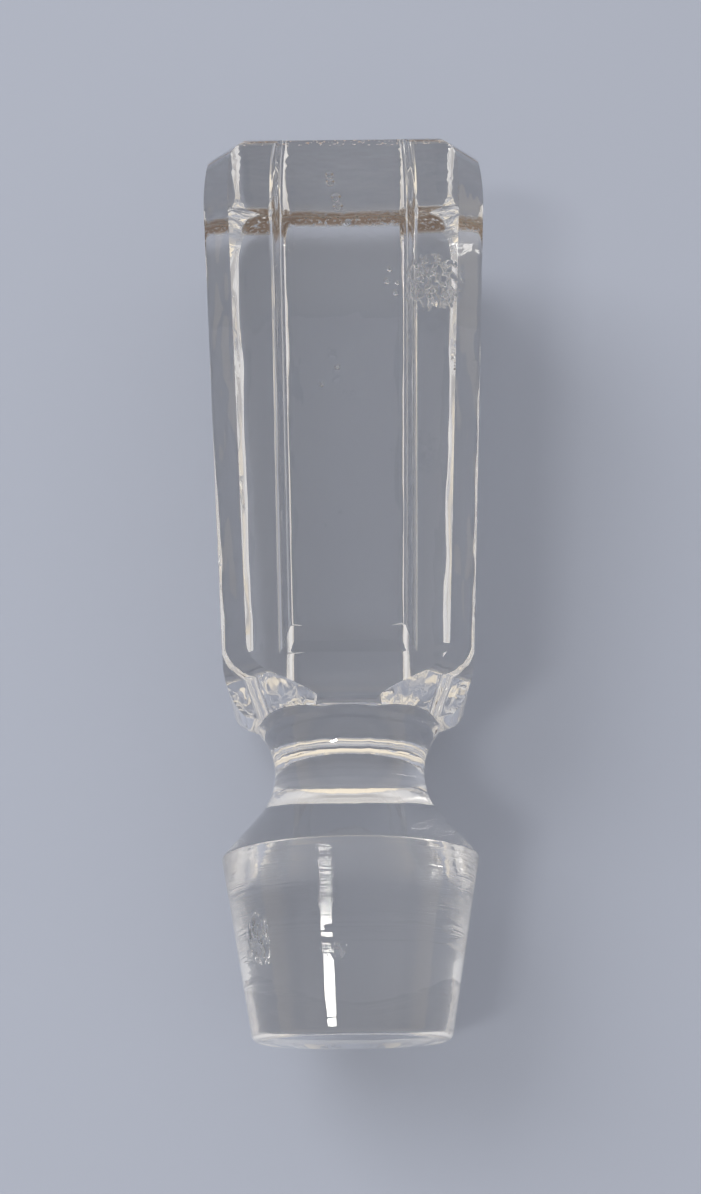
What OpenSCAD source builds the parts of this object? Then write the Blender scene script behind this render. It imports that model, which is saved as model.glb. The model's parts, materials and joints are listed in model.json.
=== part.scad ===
// Glass stopper, one solid piece: a square flared grip head with a shallow
// channel down each face, a round waist, and a tapered plug ground to fit a neck.
// It lies on its side as it would come to rest, head towards +Y, on the rim of
// the plug and the rounded end of the head.
// Built upright along Z first, plug end at zero, then laid down.

/* [Overall] */
// full length from plug end to head end
total_len = 96; // [84:0.5:108]

/* [Head] */
// half width across the flats where the head leaves its shoulder
head_low = 12.8; // [12:0.1:13.6]
// half width across the flats at the free end
head_top = 15.7; // [15:0.1:17]
// height of the underside of the head where it meets the waist
head_base = 32.1; // [31.3:0.1:33]
// slope of the underside below each face, in degrees
under_slope = 10; // [4:1:20]
// height at which the lower width is taken
low_level = 37.7; // [36:0.1:40]
// width that the cut corner takes off each face, low down
corner_low = 2.6; // [1.6:0.1:3.4]
// width that the cut corner takes off each face, at the free end
corner_top = 2.8; // [1.6:0.1:3.6]
// rounding between a face and the free end
end_round = 2; // [1.4:0.1:3]
// rounding between a face and the underside of the head
base_round = 4.3; // [3.4:0.1:5.2]
// rounding between a corner face and the free end
cut_end_round = 3.2; // [2:0.1:4.4]
// rounding between a corner face and the sloping underside below it
cut_base_round = 3.6; // [3:0.1:5]
// slope of the underside below each corner face, in degrees
cut_slope = 25; // [18:1:34]

/* [Channels] */
// half width of a channel floor, low down
channel_low = 5.9; // [5:0.1:6.8]
// half width of a channel floor at the free end
channel_top = 7.1; // [6:0.1:8]
// height of the lower end of a channel floor
channel_stop = 40.2; // [39:0.1:46]
// depth of a channel below the face
channel_depth = 1.3; // [1:0.1:1.6]
// lean of the channel sides from upright, in degrees
channel_lean = 30; // [15:1:45]
// lean of the wall that ends a channel above the shoulder, in degrees
stop_lean = 68; // [45:1:70]
// hollow rounding where a channel side meets the floor
channel_foot_round = 0.6; // [0.3:0.05:0.8]
// rounding where a channel side meets the face
channel_edge_round = 1; // [0.3:0.05:1.2]

/* [Waist] */
// radius of the waist at its narrowest
waist_r = 7.85; // [7.2:0.05:8.5]
// height of the narrowest point
waist_level = 27.3; // [26.3:0.1:28.3]
// radius of the hollow curve running down to the plug
flare_curve = 7; // [6:0.1:8]
// angle of the cone between waist and plug, from the axis
flare_angle = 41; // [36:1:46]
// radius of the hollow curve running up to the head
neck_curve = 7; // [6:0.1:8]

/* [Plug] */
// radius of the plug at its end, before the edge is rounded
plug_end_r = 10; // [9.3:0.05:10.7]
// half angle of the ground taper
plug_taper = 10.2; // [8:0.1:12]
// rounding of the edge at the plug end
plug_end_round = 0.9; // [0.5:0.1:1.4]
// rounding of the widest rim of the plug
rim_round = 0.5; // [0.3:0.1:1]

/* [Hidden] */
segments = 128;
margin = 1;
// overlap of cuts that would otherwise only touch
overlap = 0.01;
// far enough to clear the head on every side
reach = 2 * head_top + total_len;
face_count = 4;
quarter = 90;
eighth = 45;

// flare of the faces and of the corner faces, as slopes per millimetre
face_rise = total_len - low_level;
face_slope = (head_top - head_low) / face_rise;
face_angle = atan(face_slope);

// distance of the cut corner faces from the axis, low down and at the free end
cut_low = (2 * head_low - corner_low) / sqrt(2);
cut_top = (2 * head_top - corner_top) / sqrt(2);
corner_slope = (cut_top - cut_low) / face_rise;

// the slopes under the faces and corners start at the axis at these heights
face_base = head_base - waist_r * tan(under_slope);

cut_base = head_base - waist_r * tan(cut_slope);

// cone and hollow curve below the waist
flare_start_s = waist_level - flare_curve * sin(flare_angle);
flare_start_r = waist_r + flare_curve * (1 - cos(flare_angle));

// where the cone would meet the taper, and the centre of the rounded rim
rim_s = (flare_start_r + flare_start_s * tan(flare_angle) - plug_end_r)
    / (tan(plug_taper) + tan(flare_angle));
rim_r = plug_end_r + rim_s * tan(plug_taper);
rim_half = (flare_angle + plug_taper) / 2;
rim_mid = (flare_angle - plug_taper) / 2;
rim_back = rim_round / cos(rim_half);
rim_centre_r = rim_r - rim_back * cos(rim_mid);
rim_centre_s = rim_s - rim_back * sin(rim_mid);

// centre of the rounded edge at the plug end
foot_centre_s = plug_end_round;
foot_centre_r = plug_end_r + foot_centre_s * tan(plug_taper) - plug_end_round / cos(plug_taper);

// centre of the rounding at the free end of a face
end_centre_s = total_len - end_round;
end_centre_r = head_low + (end_centre_s - low_level) * face_slope - end_round / cos(face_angle);

// centre of the rounding between a face and the underside of the head
base_centre_r = (head_low + face_slope * (face_base + base_round / cos(under_slope) - low_level)
    - base_round / cos(face_angle)) / (1 - face_slope * tan(under_slope));
base_centre_s = face_base + base_centre_r * tan(under_slope) + base_round / cos(under_slope);

// lying down on the head end and on one other rounding: the tilt of the axis,
// and how far a rounding reaches below the axis at that tilt
function tilt_on(r, s, round) = atan((end_centre_r - r) / (end_centre_s - s))
    + asin((end_round - round) / norm([end_centre_r - r, end_centre_s - s]));
function reach_below(r, s, round, tilt) = r * cos(tilt) - s * sin(tilt) + round;

// it rests on the rim of the plug, or on the shoulder where that reaches lower
rim_tilt = tilt_on(rim_centre_r, rim_centre_s, rim_round);
rim_reach = reach_below(rim_centre_r, rim_centre_s, rim_round, rim_tilt);
on_shoulder = reach_below(base_centre_r, base_centre_s, base_round, rim_tilt) > rim_reach;
shoulder_tilt = tilt_on(base_centre_r, base_centre_s, base_round);
lie_angle = on_shoulder ? shoulder_tilt : rim_tilt;
lift = reach_below(end_centre_r, end_centre_s, end_round, lie_angle);
far_y = end_centre_r * sin(lie_angle) + end_centre_s * cos(lie_angle) + end_round;
near_y = foot_centre_s * cos(lie_angle) - foot_centre_r * sin(lie_angle) - plug_end_round;
slide = -(far_y + near_y) / 2;

// half of a head outline: straight flared side, rounded top and bottom corners
module half_outline(low, slope, base, under, round_low, round_top) {
    tilt = atan(slope);
    low_x = (low + slope * (base + round_low / cos(under) - low_level) - round_low / cos(tilt))
        / (1 - slope * tan(under));
    low_y = base + low_x * tan(under) + round_low / cos(under);
    top_y = total_len - round_top;
    top_x = low + slope * (top_y - low_level) - round_top / cos(tilt);
    polygon([
        [0, base],
        [low_x + round_low * sin(under), low_y - round_low * cos(under)],
        [low_x + round_low * cos(tilt), low_y - round_low * sin(tilt)],
        [top_x + round_top * cos(tilt), top_y - round_top * sin(tilt)],
        [top_x, total_len],
        [0, total_len]
    ]);
    translate([low_x, low_y]) circle(r = round_low, $fn = segments);
    translate([top_x, top_y]) circle(r = round_top, $fn = segments);
}

// a whole outline drawn straight through from one side to the other
module slab(low, slope, base, under, round_low, round_top) {
    rotate([quarter, 0, 0])
        linear_extrude(height = reach, center = true) {
            half_outline(low, slope, base, under, round_low, round_top);
            mirror([1, 0]) half_outline(low, slope, base, under, round_low, round_top);
        }
}

// section of the space beside a channel wall: floor at zero, face at channel_depth
module channel_section(lean) {
    wall_turn = (quarter - lean) / 2;
    foot_run = channel_foot_round * tan(wall_turn);
    edge_run = channel_edge_round * tan(wall_turn);
    wall_run = channel_depth * tan(lean);
    edge_x = wall_run + edge_run;
    edge_y = channel_depth - channel_edge_round + overlap;
    translate([-foot_run, channel_foot_round]) circle(r = channel_foot_round, $fn = segments);
    difference() {
        polygon([
            [-reach, 0],
            [-foot_run, 0],
            [foot_run * sin(lean), foot_run * cos(lean)],
            [wall_run - edge_run * sin(lean), channel_depth - edge_run * cos(lean)],
            [edge_x, edge_y],
            [edge_x, channel_depth + margin],
            [-reach, channel_depth + margin]
        ]);
        translate([edge_x, edge_y]) circle(r = channel_edge_round, $fn = segments);
    }
}

// one wall of a channel, everything on the open side of it
module channel_wall(lean) {
    rotate([quarter, 0, 0])
        linear_extrude(height = reach, center = true)
            channel_section(lean);
}

// one of the two long side walls, spreading with the flare
module channel_side() {
    spread = atan((channel_top - channel_low) / face_rise);
    translate([channel_low, 0, 0])
        rotate([0, 0, -spread])
            channel_wall(channel_lean);
}

// the shallow channel of one face, its floor in the plane z = 0 running along +Y
module channel() {
    intersection() {
        channel_side();
        mirror([1, 0, 0]) channel_side();
        translate([0, (channel_stop - low_level) / cos(face_angle), 0])
            rotate([0, 0, -quarter])
                channel_wall(stop_lean);
    }
}

// the channels of all four faces, following the flare
module channels() {
    for (turn = [0 : face_count - 1])
        rotate([0, 0, turn * quarter])
            translate([0, channel_depth / cos(face_angle) - head_low, low_level])
                rotate([quarter + face_angle, 0, 0])
                    channel();
}

module head() {
    difference() {
        intersection() {
            slab(head_low, face_slope, face_base, under_slope, base_round, end_round);
            rotate([0, 0, quarter])
                slab(head_low, face_slope, face_base, under_slope, base_round, end_round);
            rotate([0, 0, eighth])
                slab(cut_low, corner_slope, cut_base, cut_slope, cut_base_round, cut_end_round);
            rotate([0, 0, eighth + quarter])
                slab(cut_low, corner_slope, cut_base, cut_slope, cut_base_round, cut_end_round);
        }
        channels();
    }
}

// outline of the plug from its end to its rim
module plug_outline() {
    polygon([
        [0, 0],
        [foot_centre_r, 0],
        [foot_centre_r + plug_end_round * cos(plug_taper),
            foot_centre_s - plug_end_round * sin(plug_taper)],
        [rim_centre_r + rim_round * cos(plug_taper),
            rim_centre_s - rim_round * sin(plug_taper)],
        [rim_centre_r + rim_round * cos(flare_angle),
            rim_centre_s + rim_round * sin(flare_angle)],
        [flare_start_r, flare_start_s],
        [0, flare_start_s]
    ]);
    translate([foot_centre_r, foot_centre_s]) circle(r = plug_end_round, $fn = segments);
    translate([rim_centre_r, rim_centre_s]) circle(r = rim_round, $fn = segments);
}

// outline of the waist, two hollow curves meeting at the narrowest point
module waist_outline() {
    flare_top = waist_r + neck_curve;
    neck_end = head_base + base_round / 2;
    difference() {
        translate([0, flare_start_s]) square([flare_start_r, neck_end - flare_start_s]);
        intersection() {
            translate([waist_r + flare_curve, waist_level]) circle(r = flare_curve, $fn = segments);
            translate([0, flare_start_s - margin])
                square([reach, waist_level - flare_start_s + margin + overlap]);
        }
        intersection() {
            translate([flare_top, waist_level]) circle(r = neck_curve, $fn = segments);
            translate([0, waist_level]) square([reach, reach]);
        }
    }
}

module plug_and_waist() {
    rotate_extrude($fn = segments) {
        intersection() {
            union() {
                plug_outline();
                waist_outline();
            }
            translate([0, -margin]) square([reach, reach]);
        }
    }
}

module stopper() {
    color([0.86, 0.9, 0.9, 0.35])
        translate([0, slide, lift])
            rotate([lie_angle - quarter, 0, 0])
                union() {
                    plug_and_waist();
                    head();
                }
}

stopper();
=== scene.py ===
# %% [markdown]
# # A glass stopper, lying on its side
# The object is one piece of clear glass: a square grip head that flares towards
# its free end, a shallow channel down each face, a round waist, and a tapered
# plug that was ground to fit the neck of a bottle. This notebook loads the exact
# CAD model as the frame, makes a glass skin with softened edges from it, gives
# it a glass finish with the marks of use, and sets a table, lamps and a camera.

import json
import math

import bmesh
import bpy
from mathutils import Matrix, Vector

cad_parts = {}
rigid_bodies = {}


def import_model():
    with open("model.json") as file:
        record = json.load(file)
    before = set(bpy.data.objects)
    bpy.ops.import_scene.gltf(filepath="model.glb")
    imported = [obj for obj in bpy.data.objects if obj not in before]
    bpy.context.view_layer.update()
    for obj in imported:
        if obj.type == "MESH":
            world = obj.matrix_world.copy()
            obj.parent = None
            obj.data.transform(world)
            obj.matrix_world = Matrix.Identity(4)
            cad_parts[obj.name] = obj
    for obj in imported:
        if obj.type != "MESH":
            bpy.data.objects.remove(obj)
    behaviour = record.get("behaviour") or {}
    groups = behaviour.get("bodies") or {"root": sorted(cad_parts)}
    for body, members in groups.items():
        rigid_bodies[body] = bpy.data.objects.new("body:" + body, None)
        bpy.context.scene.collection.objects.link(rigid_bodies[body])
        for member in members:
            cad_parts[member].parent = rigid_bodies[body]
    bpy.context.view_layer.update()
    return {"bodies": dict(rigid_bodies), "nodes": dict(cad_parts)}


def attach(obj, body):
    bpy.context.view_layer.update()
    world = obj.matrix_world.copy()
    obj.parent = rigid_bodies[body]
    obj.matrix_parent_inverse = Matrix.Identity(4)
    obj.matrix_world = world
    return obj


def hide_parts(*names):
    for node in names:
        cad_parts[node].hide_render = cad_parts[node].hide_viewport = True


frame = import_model()
BODY = list(frame["bodies"])[0]
MM = 0.001

# %% [markdown]
# ## The stopper's own axis
# It lies on the rim of its plug and on its head, so its axis leans a little from
# the table. Shaping and marks are easier along that axis than along the table,
# so one matrix turns table places into places on the stopper: X across, Y along
# the axis from the plug end, and Z out of the upper face.

# %% Find the axis
LEAN = math.radians(1.756)
PLUG_END = Vector((0, -48.044, 12.711)) * MM
to_table = Matrix.Translation(PLUG_END) @ Matrix.Rotation(LEAN, 4, "X")
to_axis = to_table.inverted()
LENGTH = 96 * MM
print("axis runs from", [round(v / MM, 2) for v in PLUG_END], "for", LENGTH / MM, "mm")

# %% [markdown]
# ## The glass skin
# Pressed glass never has razor edges: the mould and the fire polish leave every
# arris rounded by a few tenths of a millimetre, and those tiny rounds are what
# catch the light as thin bright lines. The CAD mesh is loose triangles, so a
# copy is welded first. Edges that turn sharply are marked, a Bevel modifier
# rounds them, and weighted normals keep the big flat faces optically flat.

# %% Weld a copy of the frame's mesh
EDGE_TURN = math.radians(24)
WELD = 0.002 * MM


def welded(node):
    work = bmesh.new()
    work.from_mesh(frame["nodes"][node].data)
    bmesh.ops.remove_doubles(work, verts=work.verts, dist=WELD)
    bmesh.ops.recalc_face_normals(work, faces=work.faces)
    print(node, "triangles", len(work.faces), "points", len(work.verts))
    return work


skin = welded("stopper")

# %% [markdown]
# ## The drawn-in free end
# The four faces don't run dead straight to the free end: over the last 8.5 mm
# they curve in. The exact solid leaves this out. Rings of cuts give the flat
# faces points to bend with, and each point is then drawn towards the axis by the
# rise of a circle. A cut that passes very near a point leaves a sliver of a
# face, and slivers are closed up.

# %% Curve the faces in
CURVE_START = 87.5 * MM
CURVE_RADIUS = 30 * MM
CUT_STEP = 1.0 * MM
HALF_WIDTH = 15.7 * MM
SLIVER = 0.005 * MM


def ring_cut(work, along):
    place = to_table @ Vector((0, along, 0))
    normal = to_table.to_3x3() @ Vector((0, 1, 0))
    parts = work.verts[:] + work.edges[:] + work.faces[:]
    bmesh.ops.bisect_plane(work, geom=parts, plane_co=place, plane_no=normal, dist=WELD)


cut = CURVE_START
while cut < LENGTH - CUT_STEP / 2:
    ring_cut(skin, cut)
    cut += CUT_STEP
for vert in skin.verts:
    own = to_axis @ vert.co
    past = own.y - CURVE_START
    if past > 0:
        shrink = 1 - past * past / (2 * CURVE_RADIUS) / HALF_WIDTH
        vert.co = to_table @ Vector((own.x * shrink, own.y, own.z * shrink))
print("points after the ring cuts", len(skin.verts))
bmesh.ops.dissolve_degenerate(skin, dist=SLIVER, edges=skin.edges[:])
bmesh.ops.triangulate(skin, faces=[face for face in skin.faces if len(face.verts) > 4])
print("points after the slivers are gone", len(skin.verts))

# %% [markdown]
# ## Arrises marked, piece made
# Every edge where the surface turns by more than the limit is an arris, and is
# marked sharp. Everything below the limit is a curve that was cut into strips,
# and is shaded smooth. A closed solid has two faces at every edge, so a count of
# open edges is a quick test that the glass is still watertight.

# %% Mark the arrises and make the piece
def finished(work, name):
    for face in work.faces:
        face.smooth = True
    sharp = 0
    for edge in work.edges:
        if len(edge.link_faces) == 2 and edge.calc_face_angle(0) > EDGE_TURN:
            edge.smooth = False
            sharp += 1
    open_edges = sum(1 for e in work.edges if len(e.link_faces) != 2)
    print(name, "triangles", len(work.faces), "sharp edges", sharp, "open edges", open_edges)
    mesh = bpy.data.meshes.new(name)
    work.to_mesh(mesh)
    work.free()
    piece = bpy.data.objects.new(name, mesh)
    bpy.context.collection.objects.link(piece)
    return piece


stopper = finished(skin, "stopper_glass")

# %% [markdown]
# ## Rounded arrises
# A Bevel modifier could round everything, but only the arrises need it, so it
# has the same limit of turn that marked them. Three segments are enough for a
# highlight to travel over the edge. Weighted normals let the big faces win over
# the thin bevel strips, so a flat face stays a flat mirror instead of a pillow.

# %% Round the arrises
ARRIS = 0.3 * MM
ARRIS_SEGMENTS = 3
FLAT_WEIGHT = 80

bevel = stopper.modifiers.new("arris", "BEVEL")
bevel.width = ARRIS
bevel.segments = ARRIS_SEGMENTS
bevel.limit_method = "ANGLE"
bevel.angle_limit = EDGE_TURN
bevel.harden_normals = False
flat = stopper.modifiers.new("flat_faces", "WEIGHTED_NORMAL")
flat.keep_sharp = False
flat.weight = FLAT_WEIGHT
print("arris rounding", ARRIS / MM, "mm in", ARRIS_SEGMENTS, "segments")

# %% [markdown]
# ## A small tree builder
# Shader nodes are wordy in Python. A few helpers keep the finish readable: one
# adds a node, one links it, one does sums, one fades a value between two limits,
# and one makes noise at so many grains to the millimetre.

# %% Node helpers
class Tree:
    def __init__(self, name):
        self.mat = bpy.data.materials.new(name)
        self.mat.use_nodes = True
        self.nodes = self.mat.node_tree.nodes
        self.links = self.mat.node_tree.links
        self.shader = self.nodes["Principled BSDF"]

    def add(self, kind, **values):
        node = self.nodes.new(kind)
        for key, value in values.items():
            setattr(node, key, value)
        return node

    def fill(self, socket, value):
        if hasattr(value, "is_output"):
            self.links.new(value, socket)
        else:
            socket.default_value = value

    def math(self, kind, first, second=0.0):
        node = self.add("ShaderNodeMath", operation=kind)
        self.fill(node.inputs[0], first)
        self.fill(node.inputs[1], second)
        return node.outputs[0]

    def fade(self, value, low, high):
        node = self.add("ShaderNodeMapRange", interpolation_type="SMOOTHSTEP")
        self.fill(node.inputs["Value"], value)
        node.inputs["From Min"].default_value = low
        node.inputs["From Max"].default_value = high
        return node.outputs[0]

    def grain(self, where, scale, detail, centre):
        stretch = self.add("ShaderNodeMapping")
        stretch.inputs["Scale"].default_value = scale
        stretch.inputs["Location"].default_value = (centre,) * 3
        self.fill(stretch.inputs["Vector"], where)
        noise = self.add("ShaderNodeTexNoise")
        noise.inputs["Scale"].default_value = 1
        noise.inputs["Detail"].default_value = detail
        self.fill(noise.inputs["Vector"], stretch.outputs[0])
        return noise.outputs[0]

    def away(self, where, point):
        node = self.add("ShaderNodeVectorMath", operation="DISTANCE")
        self.fill(node.inputs[0], where)
        node.inputs[1].default_value = point
        return node.outputs["Value"]

    def blend(self, factor, first, second):
        node = self.add("ShaderNodeMix", data_type="RGBA")
        self.fill(node.inputs["Factor"], factor)
        colours = [s for s in node.inputs if s.type == "RGBA"]
        colours[0].default_value, colours[1].default_value = first, second
        return next(s for s in node.outputs if s.type == "RGBA")

    def bump(self, height, depth, under=None):
        node = self.add("ShaderNodeBump")
        node.inputs["Strength"].default_value = 1
        node.inputs["Distance"].default_value = depth
        self.fill(node.inputs["Height"], height)
        if under is not None:
            self.fill(node.inputs["Normal"], under)
        return node.outputs[0]


print("node helpers ready")

# %% [markdown]
# ## Places on the stopper for the finish
# The marks belong to places on the stopper, so the finish first turns Object
# coordinates back by the lean and counts them in millimetres from the plug end:
# across, along and up. An image could carry the marks too, but numbers stay
# sharp at any distance and need no unwrapping.

# %% Own coordinates
def own_places(tree):
    where = tree.add("ShaderNodeTexCoord").outputs["Object"]
    turn = tree.add("ShaderNodeVectorRotate", rotation_type="X_AXIS")
    turn.inputs["Center"].default_value = PLUG_END
    turn.inputs["Angle"].default_value = -LEAN
    tree.fill(turn.inputs["Vector"], where)
    shift = tree.add("ShaderNodeMapping")
    shift.inputs["Location"].default_value = -PLUG_END / MM
    shift.inputs["Scale"].default_value = (1 / MM,) * 3
    tree.fill(shift.inputs["Vector"], turn.outputs[0])
    return shift.outputs[0]


print("plug end in mm", [round(v / MM, 2) for v in PLUG_END])

# %% [markdown]
# ## Marks of use
# A stopper is knocked against its bottle for years. One patch on the upper face
# is scuffed to a sparkling frost, two smaller ones are on the plug, and single
# chips sit along the channel. Each is a ball around a point: a wide soft one,
# broken up by grain, for a scuff, and a tiny one for a chip.

# %% Scuffs and chips
SCUFF_EDGE = (1.6, 1.1)
CHIP_EDGE = (1.0, 0.4)
SCUFFS = [(9.4, 77.3, 14.8, 3.2), (-9.4, 9.4, 7.6, 2.4), (-1.1, 7.6, 11.3, 0.9)]
CHIPS = [
    (-1.5, 90.9, 14.1, 0.55), (-1.4, 90.0, 14.1, 0.55), (-0.8, 88.1, 14.0, 0.6),
    (-0.6, 87.0, 14.0, 0.6), (0.5, 85.2, 13.9, 0.4),
    (4.9, 79.6, 13.6, 0.35), (4.6, 78.2, 13.5, 0.4), (5.7, 78.0, 13.5, 0.3),
    (5.5, 76.8, 13.5, 0.4), (-2.5, 66.4, 12.9, 0.35), (-0.8, 68.3, 13.0, 0.35),
]


def scuffed(tree, own, grain):
    whole = 0.0
    for *point, size in SCUFFS:
        reach = tree.math("ADD", tree.away(own, point), tree.math("MULTIPLY", grain, size))
        spot = tree.fade(reach, *(edge * size for edge in SCUFF_EDGE))
        whole = tree.math("MAXIMUM", whole, spot)
    return whole


def chipped(tree, own):
    whole = 0.0
    for *point, size in CHIPS:
        spot = tree.fade(tree.away(own, point), *(edge * size for edge in CHIP_EDGE))
        whole = tree.math("MAXIMUM", whole, spot)
    return whole


print("scuffs", len(SCUFFS), "chips", len(CHIPS))

# %% [markdown]
# ## Dirt on the free end
# The free end stands in dust and under fingers. Brown dirt has settled into the
# rounded lower arris and, much fainter, into the upper one. The sum of how far a
# point is past the end's round and past the face's round picks out just the
# arris, and grain breaks it into specks.

# %% Dirt along the end's arrises
END_ROUND_START = 94.0
FACE_ROUND_START = 12.3
ARRIS_BAND = (2.0, 2.5)
END_FADE = 0.6
SPECK_LOWER = (0.30, 0.52)
SPECK_UPPER = (0.56, 0.66)


def dirty(tree, along, up, grain):
    whole = 0.0
    past_end = tree.math("SUBTRACT", along, END_ROUND_START)
    for side, specks in ((-1.0, SPECK_LOWER), (1.0, SPECK_UPPER)):
        past_face = tree.math("SUBTRACT", tree.math("MULTIPLY", up, side), FACE_ROUND_START)
        near = tree.fade(tree.math("ADD", past_end, past_face), *ARRIS_BAND)
        on_end = tree.math("MULTIPLY", near, tree.fade(past_end, 0, END_FADE))
        speck = tree.math("MULTIPLY", on_end, tree.fade(grain, *specks))
        whole = tree.math("MAXIMUM", whole, speck)
    return whole


print("dirt between", END_ROUND_START, "mm and the end")

# %% [markdown]
# ## The finish
# Clear soda glass bends light with an index of about 1.52. What is the same all
# over is set on the shader itself, so that the exported model keeps it. What
# changes from place to place is driven by the marks: long soft waves from the
# press, turning marks where the plug was ground, scuffs, chips and dirt.

# %% How deep and how rough each mark is
WAVE_DEPTH = 0.12 * MM
WAVE_ON_PLUG = 0.25
TURNING_DEPTH = 0.05 * MM
SCUFF_DEPTH = 0.4 * MM
CHIP_DEPTH = 0.4 * MM
SCUFF_ROUGH, CHIP_ROUGH, RUBBED_ROUGH, DIRT_ROUGH = 0.35, 0.3, 0.02, 0.7
DIRT_HIDES = 0.85
GLASS_WHITE = (1, 1, 1, 1)
DIRT = (0.36, 0.25, 0.18, 1)
print("waves", WAVE_DEPTH / MM, "mm, turning", TURNING_DEPTH / MM, "mm deep")

# %% [markdown]
# ## Grain and reach
# Every mark has its own grain: how fast its noise changes to the millimetre
# across, along and up, how many layers of detail it has, and where its pattern
# is centred. A small number along the axis stretches the grain into long waves,
# and a large one packs it into rings, like a lathe's.

# %% Grain of each mark
WAVE_GRAIN = ((0.22, 0.07, 0.22), 2, 0.0)
TURNING_GRAIN = ((0.05, 3.0, 0.05), 3, 0.0)
RUBBED_GRAIN = ((0.12, 0.35, 0.12), 2, 5.0)
SCUFF_GRAIN = ((1.7, 1.1, 1.7), 3, 0.0)
SCUFF_OUTLINE_GRAIN = ((0.5, 0.5, 0.5), 2, 3.0)
DIRT_GRAIN = ((2.2, 3.0, 3.0), 4, 7.0)
SCUFF_CUT = (0.45, 0.6)
RUBBED_CUT = (0.5, 0.7)
HEAD_START = (36.0, 42.0)
COARSE_TURNING = (10.0, 13.0)
PLUG_REACH = (18.2, 17.7)
print("turning marks up to", PLUG_REACH[0], "mm from the plug end")

# %% [markdown]
# ## The finish put together
# Bumps are stacked, each on the one under it, from the widest waves to the
# smallest chips. The roughness at a place is that of its roughest mark.

# %% Glass
GLASS_INDEX = 1.52


def glass_finish():
    tree = Tree("clear_glass")
    shader = tree.shader
    shader.inputs["IOR"].default_value = GLASS_INDEX
    own = own_places(tree)
    split = tree.add("ShaderNodeSeparateXYZ")
    tree.fill(split.inputs[0], own)
    _, along, up = split.outputs

    sparkle = tree.fade(tree.grain(own, *SCUFF_GRAIN), *SCUFF_CUT)
    scuff = scuffed(tree, own, tree.grain(own, *SCUFF_OUTLINE_GRAIN))
    scuff = tree.math("MULTIPLY", scuff, sparkle)
    chip = chipped(tree, own)
    dirt = dirty(tree, along, up, tree.grain(own, *DIRT_GRAIN))

    on_plug = tree.fade(along, *PLUG_REACH)
    rubbed = tree.fade(tree.grain(own, *RUBBED_GRAIN), *RUBBED_CUT)
    rubbed = tree.math("MULTIPLY", on_plug, rubbed)
    turning = tree.grain(own, *TURNING_GRAIN)
    coarse = tree.fade(along, *COARSE_TURNING)
    turning = tree.math("MULTIPLY", turning, tree.math("ADD", coarse, rubbed))
    turning = tree.math("MULTIPLY", turning, on_plug)

    on_head = tree.math("MAXIMUM", tree.fade(along, *HEAD_START), WAVE_ON_PLUG)
    wave = tree.math("MULTIPLY", tree.grain(own, *WAVE_GRAIN), on_head)
    normal = tree.bump(wave, WAVE_DEPTH)
    normal = tree.bump(turning, TURNING_DEPTH, normal)
    normal = tree.bump(scuff, SCUFF_DEPTH, normal)
    normal = tree.bump(chip, CHIP_DEPTH, normal)
    tree.fill(shader.inputs["Normal"], normal)

    rough = tree.math("MULTIPLY", scuff, SCUFF_ROUGH)
    marks = ((chip, CHIP_ROUGH), (rubbed, RUBBED_ROUGH), (dirt, DIRT_ROUGH))
    for mark, roughness in marks:
        rough = tree.math("MAXIMUM", rough, tree.math("MULTIPLY", mark, roughness))
    tree.fill(shader.inputs["Roughness"], rough)

    tree.fill(shader.inputs["Base Color"], tree.blend(dirt, GLASS_WHITE, DIRT))
    clear = tree.math("SUBTRACT", 1.0, tree.math("MULTIPLY", dirt, DIRT_HIDES))
    tree.fill(shader.inputs["Transmission Weight"], clear)
    return tree.mat


stopper.data.materials.clear()
stopper.data.materials.append(glass_finish())
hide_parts("stopper")
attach(stopper, BODY)
print("glass index", GLASS_INDEX, "on", stopper.name, "riding", BODY)

# %% [markdown]
# ## The table
# Clear glass has hardly any colour of its own: it shows what is around it. The
# table is a plain pale blue-grey, a little darker than the sky, so that the
# edges that gather light from the sides stand out against it.

# %% Table
TABLE_HALF = 2.0
TABLE_ROUGH = 0.8
TABLE_COLOUR = (0.40, 0.44, 0.54, 1)

work = bmesh.new()
bmesh.ops.create_grid(work, x_segments=1, y_segments=1, size=TABLE_HALF)
mesh = bpy.data.meshes.new("table")
work.to_mesh(mesh)
work.free()
table = bpy.data.objects.new("table", mesh)
bpy.context.collection.objects.link(table)
top = Tree("table_top")
top.shader.inputs["Base Color"].default_value = TABLE_COLOUR
top.shader.inputs["Roughness"].default_value = TABLE_ROUGH
table.data.materials.append(top.mat)
print("table", 2 * TABLE_HALF, "m wide")

# %% [markdown]
# ## The sky
# The glass needs something to show. The sky is a plain studio: warm and bright
# low down, a dimmer band above it that draws the dark lines beside the bright
# ones, and a plain grey ceiling.

# %% Sky
SKY = [
    (0.0, (1.0, 0.89, 0.73)), (0.30, (0.94, 0.84, 0.68)), (0.42, (0.50, 0.48, 0.47)),
    (0.52, (0.50, 0.48, 0.47)), (0.66, (0.82, 0.80, 0.78)), (1.0, (0.66, 0.66, 0.68)),
]
SKY_STRENGTH = 0.95

world = bpy.data.worlds.new("studio")
bpy.context.scene.world = world
world.use_nodes = True
tree = world.node_tree
sky = tree.nodes["Background"]
where = tree.nodes.new("ShaderNodeTexCoord")
split = tree.nodes.new("ShaderNodeSeparateXYZ")
ramp = tree.nodes.new("ShaderNodeValToRGB")
tree.links.new(where.outputs["Generated"], split.inputs[0])
tree.links.new(split.outputs[2], ramp.inputs[0])
tree.links.new(ramp.outputs[0], sky.inputs[0])
for place, _ in SKY[1:-1]:
    ramp.color_ramp.elements.new(place)
for element, (_, colour) in zip(ramp.color_ramp.elements, SKY):
    element.color = (*colour, 1)
sky.inputs[1].default_value = SKY_STRENGTH
print("sky bands", len(SKY))

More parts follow.
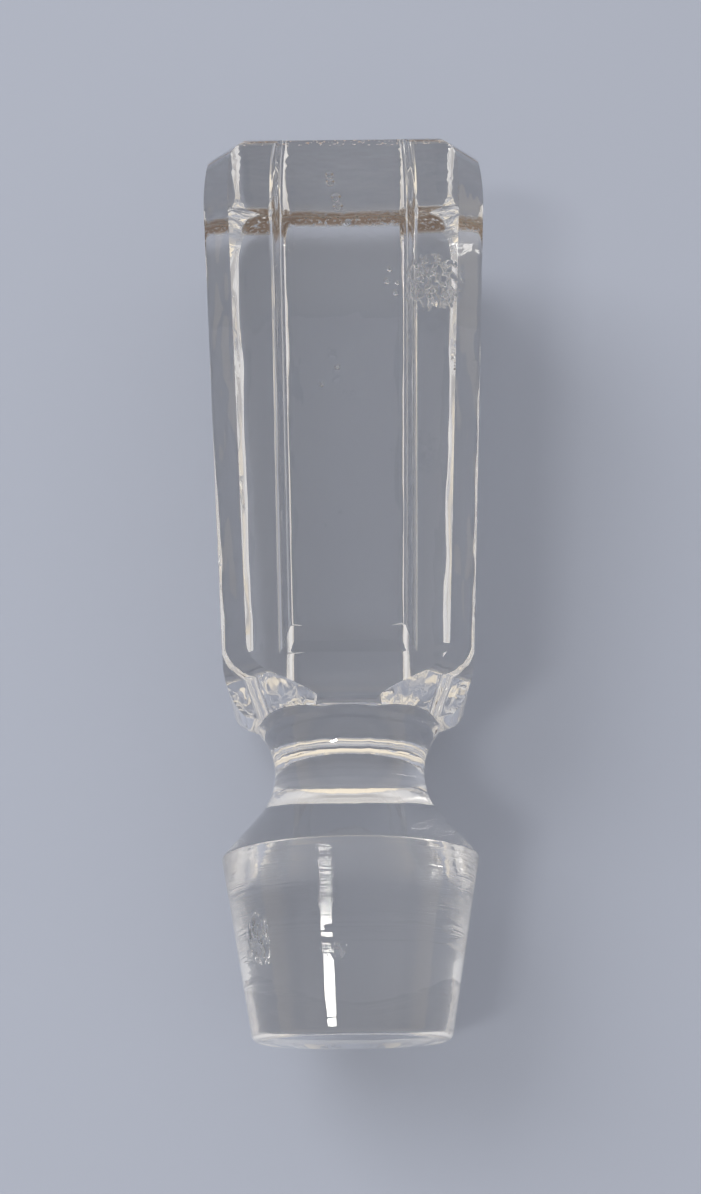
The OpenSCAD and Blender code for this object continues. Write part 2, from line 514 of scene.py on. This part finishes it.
# %% [markdown]
# ## The lamps
# A wide soft lamp on the left gives the table a soft shadow. It is hidden from
# reflections and from light through the glass, where it would show as a hard
# white square. A small one, high up and beyond the plug end, points straight
# down and is there for one highlight: a cone mirrors a compact lamp as a long
# narrow streak, which tells the eye that the plug is round, smooth and tapered.

# %% Lamps
def lamp(name, place, size, power, colour):
    data = bpy.data.lights.new(name, "AREA")
    data.energy = power
    data.shape = "RECTANGLE"
    data.size, data.size_y = size
    data.color = colour
    obj = bpy.data.objects.new(name, data)
    obj.location = place
    obj.rotation_euler = (-Vector(place)).to_track_quat("-Z", "Y").to_euler()
    bpy.context.collection.objects.link(obj)
    print("lamp", name, power, "W")
    return obj


STRAIGHT_DOWN = (0, 0, 0)
key = lamp("key", place=(-0.75, 0.45, 0.85), size=(0.8, 0.8), power=6, colour=(1, 0.97, 0.92))
key.visible_transmission = False
key.visible_glossy = False
streak = lamp(
    "streak", place=(-0.345, -0.288, 0.80), size=(0.18, 0.08), power=1.3, colour=(1, 0.96, 0.88)
)
streak.rotation_euler = STRAIGHT_DOWN

# %% [markdown]
# ## Light through thick glass
# Light is bent twice on its way through a piece, and inside a cut head it is
# thrown from face to face many more times before it finds a way out. With too
# few bounces those paths end early and come out black, so the limits go up.

# %% Light paths
LIGHT_BOUNCES = 64
paths = bpy.context.scene.cycles
paths.max_bounces = LIGHT_BOUNCES
paths.transmission_bounces = LIGHT_BOUNCES
paths.glossy_bounces = LIGHT_BOUNCES
print("light bounces", LIGHT_BOUNCES)

# %% [markdown]
# ## The camera
# It looks down from about 19 cm above the table, from just beyond the plug end,
# which is why the plug's end shows only as a thin crescent. The lens is given by
# how many units of picture height one unit of slope covers, and the Standard
# view keeps colours as they are written.

# %% Camera
EYE = Vector((0.00029, -0.0672, 0.1927))
AIM = Vector((0.00029, -0.00094, 0.014))
LENS_REACH = 1751
PICTURE_HEIGHT = 1194
SENSOR = 24
ROLL = math.radians(0.65)
NEAREST = 0.01

lens = bpy.data.cameras.new("view")
camera = bpy.data.objects.new("view", lens)
bpy.context.collection.objects.link(camera)
lens.sensor_fit = "VERTICAL"
lens.sensor_height = SENSOR
lens.lens = SENSOR * LENS_REACH / PICTURE_HEIGHT
lens.clip_start = NEAREST
camera.location = EYE
turn = (AIM - EYE).to_track_quat("-Z", "Y").to_matrix() @ Matrix.Rotation(-ROLL, 3, "Z")
camera.rotation_euler = turn.to_euler()
bpy.context.scene.camera = camera
bpy.context.scene.view_settings.view_transform = "Standard"
print("lens", round(lens.lens, 2), "mm")
